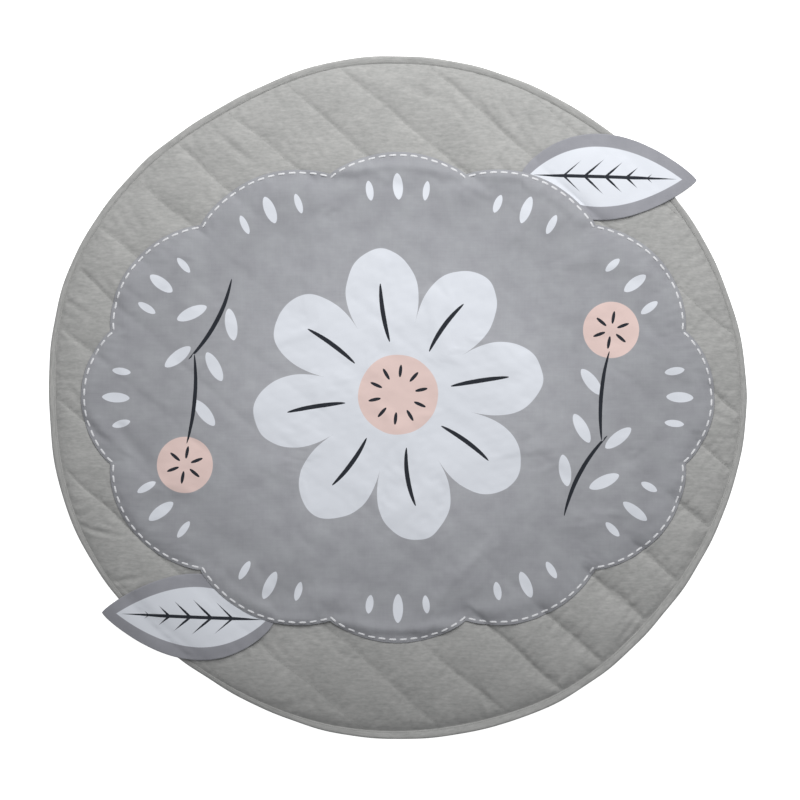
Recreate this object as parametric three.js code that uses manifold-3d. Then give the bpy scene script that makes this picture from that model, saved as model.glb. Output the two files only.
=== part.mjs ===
// Round quilted play mat, lying flat. A padded jersey disc is sewn in slanting channels and bound round its rim.
// A scalloped cotton panel is sewn on top, and two cotton leaves come out from under the panel's edge.
// Millimetres, +Z up. The origin lies on the floor, under the middle of the mat.
import * as THREE from 'three';
import { mergeVertices } from 'three/addons/utils/BufferGeometryUtils.js';
import Module from 'manifold-3d';

const wasm = await Module();
wasm.setup();

// Gap between two pieces of cloth that touch
const clothGap = 0.35;

// Rim of the mat as it lies, anticlockwise from +X: a soft disc that is a little flat at its lower left
const rimReadings = [
  { deg: 0, radius: 500 },
  { deg: 20, radius: 495 },
  { deg: 40, radius: 489 },
  { deg: 60, radius: 486 },
  { deg: 80, radius: 488 },
  { deg: 100, radius: 490 },
  { deg: 120, radius: 487 },
  { deg: 140, radius: 498 },
  { deg: 160, radius: 506 },
  { deg: 180, radius: 500 },
  { deg: 200, radius: 501 },
  { deg: 220, radius: 492 },
  { deg: 240, radius: 486 },
  { deg: 260, radius: 489 },
  { deg: 280, radius: 490 },
  { deg: 300, radius: 493 },
  { deg: 320, radius: 491 },
  { deg: 340, radius: 495 },
];
const rimSteps = 120;

// Channels of the padding, from the lower left to the upper right. Each starts at its seam, measured across the
// channels from the middle of the mat, and puffs up to its crown.
const channelSlant = THREE.MathUtils.degToRad(41);
const seamHeight = 6.5;
const channels = [
  { seam: -545, crown: 12.4 },
  { seam: -468, crown: 12.9 },
  { seam: -392, crown: 12.2 },
  { seam: -316, crown: 13.4 },
  { seam: -240, crown: 12.6 },
  { seam: -164, crown: 13.6 },
  { seam: -90, crown: 13.1 },
  { seam: -12, crown: 12.4 },
  { seam: 67, crown: 13.5 },
  { seam: 152, crown: 12.8 },
  { seam: 231, crown: 12.3 },
  { seam: 306, crown: 13.5 },
  { seam: 384, crown: 12.7 },
  { seam: 456, crown: 12.2 },
  { seam: 532, crown: 12.2 },
];
const puffSteps = [0, 0.1, 0.28, 0.5, 0.72, 0.9];
const puffRoundness = 0.55;
const puffSwell = 0.05;
const swellLength = 92;
const swellShift = 2.4;
const seamSway = 4;
const swayLength = 130;
const columnPitch = 68;
const slabReach = 545;

// Edge of the padding: how far in from the rim, and how high, first over the top and then underneath
const padEdgeTop = [
  { inset: 52, height: 16 },
  { inset: 35, height: 12.6 },
  { inset: 24, height: 9.6 },
  { inset: 18, height: 7.2 },
  { inset: 15.4, height: 5.4 },
  { inset: 3, height: 5.4 },
];
const padEdgeUnder = [
  { inset: 3, height: 2.6 },
  { inset: 15.4, height: 2.6 },
  { inset: 17.4, height: 0 },
];

// Binding: a folded strip, 15 mm wide and 8 mm thick, with a slot that holds the padding's thin edge
const bindingSection = [
  { inset: 15, height: 0 },
  { inset: 3.6, height: 0 },
  { inset: 1, height: 1.1 },
  { inset: 0, height: 3.4 },
  { inset: 0.5, height: 5.9 },
  { inset: 2.6, height: 7.5 },
  { inset: 6.5, height: 8 },
  { inset: 11.5, height: 7.6 },
  { inset: 14.4, height: 6.7 },
  { inset: 15, height: 5.8 },
  { inset: 2.6, height: 5.8 },
  { inset: 2.6, height: 2.2 },
  { inset: 15, height: 2.2 },
];

// Panel: an oval with twelve scallops, in cotton sewn down through the padding
const panelHalfWidth = 428;
const panelHalfDepth = 326;
const panelThickness = 2;
const scallopCount = 12;
const scallopDepth = 24;
const scallopRoundness = 0.8;
const scallopEvening = 0.0675;
const panelSteps = 144;
const panelFollow = 0.6;

// Leaves: each from its root under the panel's edge to its tip past the rim
const leafThickness = 2.6;
const leafHalfWidth = 62;
const leafFullness = 0.8;
const leafBroadest = 0.85;
const leafOutlineSteps = 22;
const leafGridPitch = 12;
const leaves = [
  { name: 'leaf_upper', root: { x: 176, y: 318 }, tip: { x: 428, y: 311 } },
  { name: 'leaf_lower', root: { x: -176, y: -318 }, tip: { x: -424, y: -308 } },
];
// Underside of a leaf, by distance in from the rim: on the padding, over the binding, then drooping to the floor
const leafCrownGap = 0.5;
const leafFall = [
  { inset: 38, height: 14.6 },
  { inset: 12, height: 8.6 },
  { inset: -6, height: 8.6 },
  { inset: -20, height: 5.6 },
  { inset: -36, height: 2.4 },
  { inset: -60, height: 1.8 },
];

// Cloths
const jerseyGrey = 0x8e8e8c;
const bindingGrey = 0x8a8a88;
const cottonGrey = 0x9a9ca1;
const leafGrey = 0xa0a1a8;

// Smooth closed curve through readings that lie an equal angle apart
function rimRadius(angle) {
  const count = rimReadings.length;
  const turn = (angle / (2 * Math.PI)) * count;
  const step = Math.floor(turn);
  const part = turn - step;
  const at = (k) => rimReadings[(((step + k) % count) + count) % count].radius;
  const slopeHere = (at(1) - at(-1)) / 2;
  const slopeNext = (at(2) - at(0)) / 2;
  const rise = at(1) - at(0);
  const bend = 2 * slopeHere + slopeNext;
  return at(0) + part * (slopeHere + part * (3 * rise - bend + part * (slopeHere + slopeNext - 2 * rise)));
}

function rimPoint(step, inset) {
  const angle = (2 * Math.PI * step) / rimSteps;
  const radius = rimRadius(angle) - inset;
  return new THREE.Vector2(radius * Math.cos(angle), radius * Math.sin(angle));
}

function insetFromRim(x, y) {
  return rimRadius(Math.atan2(y, x)) - Math.hypot(x, y);
}

// Value at a place, on straight lines between rows that are sorted downwards by that place
function readRows(rows, place) {
  if (place >= rows[0].inset) return rows[0].height;
  for (let i = 1; i < rows.length; i += 1) {
    const upper = rows[i - 1];
    const lower = rows[i];
    if (place >= lower.inset) {
      const part = (place - lower.inset) / (upper.inset - lower.inset);
      return lower.height + part * (upper.height - lower.height);
    }
  }
  return rows[rows.length - 1].height;
}

// Closed solid from points and triangles, turned inside out if it has to be
function solidOf(points, triangles) {
  let volume = 0;
  for (const [a, b, c] of triangles) {
    volume += points[a].dot(new THREE.Vector3().crossVectors(points[b], points[c]));
  }
  const faces = volume > 0 ? triangles : triangles.map(([a, b, c]) => [a, c, b]);
  return new wasm.Manifold(new wasm.Mesh({
    numProp: 3,
    vertProperties: Float32Array.from(points.flatMap((point) => point.toArray())),
    triVerts: Uint32Array.from(faces.flat()),
  }));
}

function prismOf(outline, bottom, top) {
  const geometry = new THREE.ExtrudeGeometry(new THREE.Shape(outline), { depth: top - bottom, bevelEnabled: false });
  geometry.translate(0, 0, bottom);
  geometry.deleteAttribute('normal');
  geometry.deleteAttribute('uv');
  const merged = mergeVertices(geometry);
  return new wasm.Manifold(new wasm.Mesh({
    numProp: 3,
    vertProperties: Float32Array.from(merged.attributes.position.array),
    triVerts: Uint32Array.from(merged.index.array),
  }));
}

// Slab between two heights over a grid of places, walled round its sides
function slabOf(grid, topAt, bottomAt) {
  const rows = grid.length;
  const columns = grid[0].length;
  const points = [];
  for (const heightAt of [topAt, bottomAt]) {
    for (const row of grid) {
      for (const place of row) {
        points.push(new THREE.Vector3(place.x, place.y, heightAt(place)));
      }
    }
  }
  const below = rows * columns;
  const at = (row, column) => row * columns + column;
  const triangles = [];
  for (let i = 0; i + 1 < rows; i += 1) {
    for (let j = 0; j + 1 < columns; j += 1) {
      const corners = [at(i, j), at(i, j + 1), at(i + 1, j + 1), at(i + 1, j)];
      triangles.push([corners[0], corners[1], corners[2]], [corners[0], corners[2], corners[3]]);
      const [a, b, c, d] = corners.map((corner) => corner + below);
      triangles.push([a, c, b], [a, d, c]);
    }
  }
  const wall = (from, to) => {
    triangles.push([from, from + below, to + below], [from, to + below, to]);
  };
  for (let j = 0; j + 1 < columns; j += 1) {
    wall(at(0, j), at(0, j + 1));
    wall(at(rows - 1, j + 1), at(rows - 1, j));
  }
  for (let i = 0; i + 1 < rows; i += 1) {
    wall(at(i + 1, 0), at(i, 0));
    wall(at(i, columns - 1), at(i + 1, columns - 1));
  }
  return solidOf(points, triangles);
}

// Places on the mat, by row and column of the quilting: six rows a channel, with seams that sway a little
function quiltGrid() {
  const grid = [];
  for (let i = 0; i + 1 < channels.length; i += 1) {
    for (const across of i + 2 < channels.length ? puffSteps : [...puffSteps, 1]) {
      const row = [];
      for (let along = -slabReach; along <= slabReach; along += columnPitch) {
        const sway = (k) => seamSway * Math.sin(along / swayLength + swellShift * k);
        const start = channels[i].seam + sway(i);
        const end = channels[i + 1].seam + sway(i + 1);
        const level = start + across * (end - start);
        row.push({
          x: along * Math.cos(channelSlant) + level * Math.sin(channelSlant),
          y: -along * Math.sin(channelSlant) + level * Math.cos(channelSlant),
          channel: i,
          across,
          along,
        });
      }
      grid.push(row);
    }
  }
  return grid;
}

function crownOf(channel, along) {
  return channels[channel].crown * (1 + puffSwell * Math.sin(along / swellLength + swellShift * channel));
}

// Height of a puff: it leaves the seam steeply and rounds off over its crown
function puffHeight(place) {
  const { channel, across, along } = place;
  const rise = (4 * across * (1 - across)) ** puffRoundness;
  return seamHeight + rise * (crownOf(channel, along) - seamHeight);
}

// Height of a cloth stretched from crown to crown
function crownHeight(place) {
  const { channel, across, along } = place;
  const next = across < 0.5 ? channel - 1 : channel + 1;
  const other = THREE.MathUtils.clamp(next, 0, channels.length - 1);
  const share = Math.abs(across - 0.5);
  return crownOf(channel, along) * (1 - share) + crownOf(other, along) * share;
}

// Height of a cloth stretched from crown to crown, at any place on the mat
function crownAt(x, y) {
  const along = x * Math.cos(channelSlant) - y * Math.sin(channelSlant);
  const level = x * Math.sin(channelSlant) + y * Math.cos(channelSlant);
  let channel = 0;
  while (channel + 2 < channels.length && channels[channel + 1].seam < level) channel += 1;
  const width = channels[channel + 1].seam - channels[channel].seam;
  return crownHeight({ channel, across: (level - channels[channel].seam) / width, along });
}

// Solid disc under a rounded edge, from the middle of the top over the rim to the middle below
function edgeEnvelope() {
  const section = [...padEdgeTop, ...padEdgeUnder];
  const points = section.flatMap(({ inset, height }) => Array.from({ length: rimSteps }, (_, step) => {
    const place = rimPoint(step, inset);
    return new THREE.Vector3(place.x, place.y, height);
  }));
  const topMiddle = points.push(new THREE.Vector3(0, 0, section[0].height)) - 1;
  const lowMiddle = points.push(new THREE.Vector3(0, 0, section[section.length - 1].height)) - 1;
  const last = (section.length - 1) * rimSteps;
  const triangles = ringWalls(section.length - 1, (row) => row + 1);
  for (let step = 0; step < rimSteps; step += 1) {
    const next = (step + 1) % rimSteps;
    triangles.push([topMiddle, step, next], [lowMiddle, last + next, last + step]);
  }
  return solidOf(points, triangles);
}

// Triangles between neighbouring rings of points
function ringWalls(rows, follower) {
  const triangles = [];
  for (let row = 0; row < rows; row += 1) {
    for (let step = 0; step < rimSteps; step += 1) {
      const next = (step + 1) % rimSteps;
      const here = row * rimSteps;
      const there = follower(row) * rimSteps;
      triangles.push([here + step, there + step, there + next], [here + step, there + next, here + next]);
    }
  }
  return triangles;
}

// Outline of the panel: the oval, pushed outwards by scallops of about equal length
function panelOutline(spread) {
  return Array.from({ length: panelSteps }, (_, step) => {
    const turn = (2 * Math.PI * step) / panelSteps;
    const angle = turn + scallopEvening * Math.sin(2 * turn);
    const outwards = new THREE.Vector2(Math.cos(angle) / panelHalfWidth, Math.sin(angle) / panelHalfDepth).normalize();
    const lobe = Math.abs(Math.cos((scallopCount / 2) * turn)) ** scallopRoundness;
    const place = new THREE.Vector2(panelHalfWidth * Math.cos(angle), panelHalfDepth * Math.sin(angle));
    return place.addScaledVector(outwards, scallopDepth * lobe + spread);
  });
}

// Outline of a leaf: pointed at both ends and broadest a little before its middle
function leafOutline(root, tip) {
  const length = root.distanceTo(tip);
  const axis = tip.clone().sub(root).normalize();
  const sideways = new THREE.Vector2(-axis.y, axis.x);
  const edge = (side) => Array.from({ length: leafOutlineSteps }, (_, step) => {
    const part = step / leafOutlineSteps;
    const width = leafHalfWidth * Math.sin(Math.PI * part ** leafBroadest) ** leafFullness;
    return root.clone().addScaledVector(axis, part * length).addScaledVector(sideways, side * width);
  });
  return [...edge(-1), tip.clone(), ...edge(1).slice(1).reverse()];
}

function makePad() {
  const quilt = slabOf(quiltGrid(), puffHeight, () => -seamHeight);
  return quilt.intersect(edgeEnvelope());
}

function makeBinding() {
  const points = bindingSection.flatMap(({ inset, height }) => Array.from({ length: rimSteps }, (_, step) => {
    const place = rimPoint(step, inset);
    return new THREE.Vector3(place.x, place.y, height);
  }));
  return solidOf(points, ringWalls(bindingSection.length, (row) => (row + 1) % bindingSection.length));
}

function makePanel() {
  const underside = (place) => {
    const crown = crownHeight(place);
    return crown + panelFollow * (puffHeight(place) - crown) + clothGap;
  };
  const sheet = slabOf(quiltGrid(), (place) => underside(place) + panelThickness, underside);
  return sheet.intersect(prismOf(panelOutline(0), 0, slabReach));
}

function makeLeaf({ root, tip }) {
  const from = new THREE.Vector2(root.x, root.y);
  const to = new THREE.Vector2(tip.x, tip.y);
  const axis = to.clone().sub(from).normalize();
  const sideways = new THREE.Vector2(-axis.y, axis.x);
  const rows = Math.ceil((from.distanceTo(to) + 2 * leafGridPitch) / leafGridPitch);
  const columns = 2 * Math.ceil(leafHalfWidth / leafGridPitch) + 2;
  const grid = Array.from({ length: rows + 1 }, (_, i) => Array.from({ length: columns + 1 }, (__, j) => {
    const ahead = (i - 1) * leafGridPitch;
    const aside = (columns / 2 - j) * leafGridPitch;
    return from.clone().addScaledVector(axis, ahead).addScaledVector(sideways, aside);
  }));
  const underside = ({ x, y }) => {
    const inset = insetFromRim(x, y);
    const fall = readRows(leafFall, inset);
    return inset > leafFall[0].inset ? Math.max(fall, crownAt(x, y) + leafCrownGap) : fall;
  };
  const sheet = slabOf(grid, (place) => underside(place) + leafThickness, underside);
  const cut = prismOf(leafOutline(from, to), -slabReach, slabReach);
  return sheet.intersect(cut).subtract(prismOf(panelOutline(clothGap), -slabReach, slabReach));
}

// Middle of the rim's own extent, so that the mat lies centred on the origin
function middleOfMat() {
  const box = new THREE.Box2();
  for (let step = 0; step < rimSteps; step += 1) box.expandByPoint(rimPoint(step, 0));
  return box.getCenter(new THREE.Vector2());
}

function clothMesh(name, solid, color, roughness) {
  const { vertProperties, triVerts } = solid.getMesh();
  const geometry = new THREE.BufferGeometry();
  geometry.setAttribute('position', new THREE.BufferAttribute(Float32Array.from(vertProperties), 3));
  geometry.setIndex(new THREE.BufferAttribute(Uint32Array.from(triVerts), 1));
  geometry.computeVertexNormals();
  const mesh = new THREE.Mesh(geometry, new THREE.MeshStandardMaterial({ color, roughness, metalness: 0 }));
  mesh.name = name;
  return mesh;
}

const mat = new THREE.Group();
mat.add(clothMesh('quilted_pad', makePad(), jerseyGrey, 0.95));
mat.add(clothMesh('edge_binding', makeBinding(), bindingGrey, 0.95));
mat.add(clothMesh('flower_panel', makePanel(), cottonGrey, 0.85));
for (const leaf of leaves) {
  mat.add(clothMesh(leaf.name, makeLeaf(leaf), leafGrey, 0.85));
}
const middle = middleOfMat();
mat.position.set(-middle.x, -middle.y, 0);

export default mat;
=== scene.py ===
from functools import partial
import bpy
import numpy as np
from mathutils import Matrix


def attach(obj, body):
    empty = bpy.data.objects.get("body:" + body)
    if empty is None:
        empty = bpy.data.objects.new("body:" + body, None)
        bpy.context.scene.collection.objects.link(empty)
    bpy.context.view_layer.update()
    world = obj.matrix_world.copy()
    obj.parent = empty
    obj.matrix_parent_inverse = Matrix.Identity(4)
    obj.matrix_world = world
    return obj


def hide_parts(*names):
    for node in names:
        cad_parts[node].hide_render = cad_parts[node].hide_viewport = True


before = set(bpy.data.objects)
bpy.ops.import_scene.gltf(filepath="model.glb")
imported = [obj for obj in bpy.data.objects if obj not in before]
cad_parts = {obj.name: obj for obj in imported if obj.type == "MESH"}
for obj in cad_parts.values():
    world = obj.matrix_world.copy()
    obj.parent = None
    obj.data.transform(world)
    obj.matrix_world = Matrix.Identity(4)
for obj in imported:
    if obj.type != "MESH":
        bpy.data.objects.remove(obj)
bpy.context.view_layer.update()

# Round quilted play mat. Sizes are in mm and degrees, and angles run anticlockwise from +X.
mm = 0.001

mat = {
    "rimRadii": [500, 495, 489, 486, 488, 490, 487, 498, 506, 500, 501, 492, 486, 489, 490, 493, 491, 495],
    "runRadius": 490,        # turns angles into lengths along the rim
    "rimWobble": 0.3,        # how far the sewn edge strays from the smooth rim
    "wobbleLength": 110,
    "bindingWidths": [9.3, 8.3, 9, 10, 10.8, 9.9, 10.9, 10.2, 10.3, 9.8, 9.3, 8.6, 9.9, 10, 7.9, 7.2, 7.6,
                      9.8, 12, 13.2, 11.6, 12.6, 11.8, 9.6],
    "rimSlope": [0.12, 0, 0, 0, 0, 0.05, 0.1, 0.38, 0.5, -0.12, -0.16, 0],    # share that the rim sinks by
}
quilt = {
    "slant": 41,             # channels run down to the right
    "seams": [-545, -468, -392, -316, -240, -164, -90, -12, 67, 152, 231, 306, 384, 456, 532],
    "crowns": [12.4, 12.9, 12.2, 13.4, 12.6, 13.6, 13.1, 12.4, 13.5, 12.8, 12.3, 13.5, 12.7, 12.2, 12.2],
    "seamHeights": [6, 7.4, 7.9, 7.3, 8, 8.1, 7.6, 7.9, 9.4, 10, 5, 3.4],    # every 30 degrees round the mat
    "heightsFrom": (120, 330),    # from the middle out to here they come into force
    "seamUneven": 0.6,
    "deepSeams": (7, 4.5),   # seams as low as this start to count as deep, and are fully so
    "roundness": 0.4,
    "softening": 0.04,       # for each mm that a seam is higher than the lowest
    "lean": 0.14,            # the deepest channels are steeper on their upper right side
    "valley": 0.12,          # and their bottoms are rounder
    "swell": 0.05,
    "swellLength": 92,
    "sway": 4,
    "swayLength": 130,
    "phase": 2.4,
    "stray": 0.8,            # the sewing also wanders a little
    "strayLength": 80,
}


def linear(hexColor):
    # sRGB hex to the linear colour that a shader wants
    s = np.array([int(hexColor[i:i + 2], 16) for i in (1, 3, 5)]) / 255
    return (*np.where(s <= 0.04045, s / 12.92, ((s + 0.055) / 1.055) ** 2.4), 1)


def lumps(x, y, size, seed, count=14):
    # Smooth noise of about unit height: a sum of plane waves in seeded directions, each about one size long
    rng = np.random.default_rng(seed)
    total = 0
    for _ in range(count):
        turn = rng.uniform(0, 2 * np.pi)
        pace = 2 * np.pi / (size * rng.uniform(0.7, 1.5))
        total = total + np.sin(pace * (x * np.cos(turn) + y * np.sin(turn)) + rng.uniform(0, 2 * np.pi))
    return total * np.sqrt(2 / count)


def waves(along, size, seed, count=7):
    # Uneven waves along a line, of about unit height
    rng = np.random.default_rng(seed)
    total = 0
    for _ in range(count):
        pace = 2 * np.pi / (size * rng.uniform(0.6, 1.7))
        total = total + np.sin(pace * along + rng.uniform(0, 2 * np.pi))
    return total * np.sqrt(2 / count)


def smoothStep(value, low, high):
    part = np.clip((value - low) / (high - low), 0, 1)
    return part * part * (3 - 2 * part)


def bump(value, width):
    # 1 at zero, falling off smoothly on both sides
    return np.exp(-(value / width) ** 2)


def over(upper, lower, sharpness=1.3):
    # The higher of two surfaces, with a soft bend where they cross
    return np.logaddexp(sharpness * upper, sharpness * lower) / sharpness


def aheadAndAside(x, y, place, turn):
    # How far a point lies along a direction from a place, and how far to the left of it
    x, y, cos, sin = x - place[0], y - place[1], np.cos(turn), np.sin(turn)
    return x * cos + y * sin, y * cos - x * sin


def placesRound(radius, turns, height):
    # Points on rings, at a height that is given or worked out from x and y
    x, y = radius * np.cos(turns), radius * np.sin(turns)
    return np.stack([x, y, height(x, y) if callable(height) else height + 0 * x], -1)


def readRound(readings, angle):
    # Smooth closed curve through readings taken all the way round, a cubic between each two
    readings = np.array(readings, float)
    turn = (np.asarray(angle) / (2 * np.pi) % 1) * len(readings)
    step = np.floor(turn).astype(int)
    part = turn - step
    before, here, there, after = (readings[(step + k) % len(readings)] for k in (-1, 0, 1, 2))
    slopeHere, slopeThere, rise = (there - before) / 2, (after - here) / 2, there - here
    bend = 2 * slopeHere + slopeThere
    return here + part * (slopeHere + part * (3 * rise - bend + part * (slopeHere + slopeThere - 2 * rise)))


def rimRadius(angle):
    return readRound(mat["rimRadii"], angle)


def bindingWidth(angle):
    # Narrow at the top and the lower left, broad at the lower right
    return readRound(mat["bindingWidths"], angle)


def rimShare(part, turns):
    # What is left of a height, from the binding's inner edge, part 1, to the rim, part 0, where that sinks
    return 1 - readRound(mat["rimSlope"], turns) * (1 - np.clip(part, 0, 1))


rimTurns = np.arange(120) * 2 * np.pi / 120
rimPlaces = placesRound(rimRadius(rimTurns), rimTurns, 0)[:, :2]
middle = (rimPlaces.min(0) + rimPlaces.max(0)) / 2    # the mat lies centred on the origin


def insetFromRim(x, y):
    return rimRadius(np.arctan2(y, x)) - np.hypot(x, y)


def seamLevel(seam, order, along):
    # Height of a seam's line above the middle, measured square to the channels
    sway = quilt["sway"] * np.sin(along / quilt["swayLength"] + quilt["phase"] * order)
    return seam + sway + quilt["stray"] * waves(along + 210 * order, quilt["strayLength"], 4)


def quiltAt(x, y):
    # Channel of a place, how far across it, how far along it, and the distance to the nearest seam
    along, level = aheadAndAside(x, y, (0, 0), -np.radians(quilt["slant"]))
    seams = np.array(quilt["seams"], float)
    order = np.arange(len(seams)).reshape(-1, *[1] * np.ndim(x))
    lines = seamLevel(seams.reshape(order.shape), order, along)
    channel = np.clip((level > lines).sum(0) - 1, 0, len(seams) - 2)
    start, end = (np.take_along_axis(lines, channel[None] + k, 0)[0] for k in (0, 1))
    across = np.clip((level - start) / (end - start), 0, 1)
    return channel, across, along, np.minimum(level - start, end - level)


def crownOf(channel, along):
    swell = quilt["swell"] * np.sin(along / quilt["swellLength"] + quilt["phase"] * channel)
    return np.array(quilt["crowns"])[channel] * (1 + swell)


def seamHeight(x, y):
    # Deepest at the lower right, and some stretches of a channel are pulled down more than others
    mean = np.mean(quilt["seamHeights"])
    turned = readRound(quilt["seamHeights"], np.arctan2(y, x)) - mean
    uneven = quilt["seamUneven"] * lumps(x, y, 110, 3)
    return mean + turned * smoothStep(np.hypot(x, y), *quilt["heightsFrom"]) + uneven


def deepShare(seam):
    # 1 where the sewing pulls a seam down deepest, 0 where it hardly does
    shallow, deep = quilt["deepSeams"]
    return smoothStep(-seam, -shallow, -deep)


def puffHeight(x, y):
    # A puff leaves its seam steeply and rounds off over its crown
    channel, across, along, _ = quiltAt(x, y)
    seam = seamHeight(x, y)
    deep = deepShare(seam)
    across = across ** (1 - quilt["lean"] * deep)
    power = quilt["roundness"] + quilt["softening"] * np.clip(seam - min(quilt["seamHeights"]), 0, None)
    valley = quilt["valley"] * deep + 0.003    # the little that is added keeps the slope at a seam finite
    arch = (4 * across * (1 - across) + valley) ** power - valley ** power
    return seam + arch / ((1 + valley) ** power - valley ** power) * (crownOf(channel, along) - seam)


def crownHeight(x, y):
    # A cloth stretched from crown to crown
    channel, across, along, _ = quiltAt(x, y)
    other = np.clip(np.where(across < 0.5, channel - 1, channel + 1), 0, len(quilt["crowns"]) - 1)
    share = np.abs(across - 0.5)
    return crownOf(channel, along) * (1 - share) + crownOf(other, along) * share


# Creases seen in the cloth, soft troughs that fade at their ends: middle, direction, length, width, depth
creases = {
    "jersey": [
        (158, 404, -58, 92, 5, 1.5), (133, 398, -50, 74, 4, 1.0), (186, 398, -64, 60, 4, 1.0),
        (88, 404, -47, 80, 6, 0.9), (-236, 357, -41, 62, 6, 2.2), (-428, -192, -14, 52, 4, 1.8),
        (-389, -261, 8, 46, 4, 1.5), (466, -30, -24, 44, 4, 1.4), (330, -331, 52, 46, 4, 1.2),
        (40, 432, -20, 70, 7, 1.2), (120, -424, -58, 60, 6, 1.3), (-150, -440, 12, 70, 7, 1.1),
        (-462, 130, -35, 52, 5, 1.3), (455, 120, -50, 48, 4, 1.2),
    ],
    "cotton": [
        (78, 312, -38, 66, 6, 1.4), (108, 306, -30, 70, 5, 1.3), (150, 292, -26, 60, 6, 1.0),
        (-372, -80, -49, 110, 10, 1.5), (-330, 150, 52, 110, 9, 1.3), (395, -60, -70, 80, 8, 1.1),
        (300, -190, 24, 90, 11, 1.0), (350, 110, -48, 90, 9, 1.0),
    ],
    "bow": 0.0016,           # a crease bows a little
    "ridge": 0.35,           # and has low ridges on both sides
}


def creaseDepth(x, y, cloth):
    total = 0
    for middleX, middleY, deg, length, width, depth in creases[cloth]:
        ahead, aside = aheadAndAside(x, y, (middleX, middleY), np.radians(deg))
        aside = aside - creases["bow"] * ahead ** 2
        ridges = creases["ridge"] * bump(np.abs(aside) - 1.7 * width, width)
        total = total + depth * bump(2.1 * ahead, length) * (ridges - bump(aside, width))
    return total


def gridQuads(rows, columns, wrap=False):
    # Quads of a grid of points, row by row, joined round its columns where it wraps
    i, j = np.meshgrid(np.arange(rows - 1), np.arange(columns if wrap else columns - 1), indexing="ij")
    i, k = i * columns, (j + 1) % columns
    return np.stack([i + j, i + k, i + columns + k, i + columns + j], -1).reshape(-1, 4)


def refine(values, wrap):
    # Twice as many rows and columns, each new one on a cubic through its four neighbours
    for axis in (0, 1):
        v = np.moveaxis(values, axis, 0)
        around = wrap and axis == 1
        first, last = (v[-1:], v[:2]) if around else (2 * v[:1] - v[1:2], 2 * v[-1:] - v[-2:-1])
        padded = np.concatenate([first, v, last])
        count = len(v) if around else len(v) - 1
        a, b, c, d = (padded[k:k + count] for k in range(4))
        out = np.empty((len(v) + count, *v.shape[1:]))
        out[0::2], out[1::2] = v, (9 * (b + c) - a - d) / 16
        values = np.moveaxis(out, 0, axis)
    return values


def between(grid, row, column):
    # Points of a grid at fractional rows and columns. The columns run all the way round.
    column = column % grid.shape[1]
    low = np.clip(np.floor(row).astype(int), 0, len(grid) - 2)
    left = np.floor(column).astype(int)
    right = (left + 1) % grid.shape[1]
    up, aside = np.clip(row - low, 0, 1)[..., None], (column - left)[..., None]
    here, there = (grid[k, left] * (1 - aside) + grid[k, right] * aside for k in (low, low + 1))
    return here * (1 - up) + there * up


def newMesh(name, points, faceSets):
    # A mesh from points in mm and arrays of faces with equally many corners
    points = np.array(points, float).reshape(-1, 3)
    points[:, :2] -= middle
    mesh = bpy.data.meshes.new(name)
    mesh.vertices.add(len(points))
    mesh.vertices.foreach_set("co", (points * mm).astype(np.float32).ravel())
    corners = np.concatenate([faces.ravel() for faces in faceSets]).astype(np.int32)
    sizes = np.concatenate([np.full(len(faces), faces.shape[1]) for faces in faceSets])
    mesh.loops.add(len(corners))
    mesh.loops.foreach_set("vertex_index", corners)
    mesh.polygons.add(len(sizes))
    mesh.polygons.foreach_set("loop_start", np.concatenate([[0], np.cumsum(sizes)[:-1]]).astype(np.int32))
    mesh.update(calc_edges=True)
    mesh.shade_smooth()
    return mesh


def addObject(name, data):
    item = bpy.data.objects.new(name, data)
    bpy.context.scene.collection.objects.link(item)
    return item


def addPiece(name, points, faceSets, material):
    piece = addObject(name, newMesh(name, points, faceSets))
    piece.data.materials.append(material)
    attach(piece, "root")
    return piece


def addValues(piece, name, values, domain="POINT"):
    # Places in mm for the pattern to follow, one for each point, or for each corner of each face
    layer = piece.data.attributes.new(name, "FLOAT_VECTOR", domain)
    layer.data.foreach_set("vector", values.astype(np.float32).ravel())


def settle(points, quads, held, cloth):
    # Blender's cloth puffs and puckers a sheet that is held where it is sewn. Gives how far each point moved.
    sheet = addObject("settling", newMesh("settling", points, [quads]))
    sheet.vertex_groups.new(name="held").add(np.flatnonzero(held).tolist(), 1, "REPLACE")
    if cloth["loosely"]:
        sheet.vertex_groups["held"].add(np.flatnonzero(~held).tolist(), cloth["loosely"], "REPLACE")
    modifier = sheet.modifiers.new("Cloth", "CLOTH")
    rules = modifier.settings
    rules.quality = cloth["quality"]
    rules.mass = cloth["mass"]
    rules.air_damping = cloth["damping"]
    rules.tension_stiffness = rules.compression_stiffness = cloth["stretch"]
    rules.shear_stiffness = cloth["shear"]
    rules.bending_stiffness = cloth["bending"]
    rules.vertex_group_mass = "held"
    rules.pin_stiffness = 1
    rules.shrink_min = -cloth["slack"]
    rules.use_pressure = True
    rules.uniform_pressure_force = cloth["pressure"]
    rules.effector_weights.gravity = 0
    modifier.point_cache.frame_start = 1
    modifier.point_cache.frame_end = cloth["frames"]
    for step in range(1, cloth["frames"] + 1):
        bpy.context.scene.frame_set(step)
    settled = sheet.evaluated_get(bpy.context.evaluated_depsgraph_get()).to_mesh()
    after = np.zeros(len(points) * 3, np.float32)
    settled.vertices.foreach_get("co", after)
    after = after.reshape(-1, 3) / mm
    after[:, :2] += middle
    bpy.data.objects.remove(sheet)
    bpy.context.scene.frame_set(1)
    moved = after - points
    far = np.linalg.norm(moved, axis=1, keepdims=True)
    return cloth["share"] * moved * np.minimum(1, cloth["most"] / np.maximum(far, 1e-6))


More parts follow.
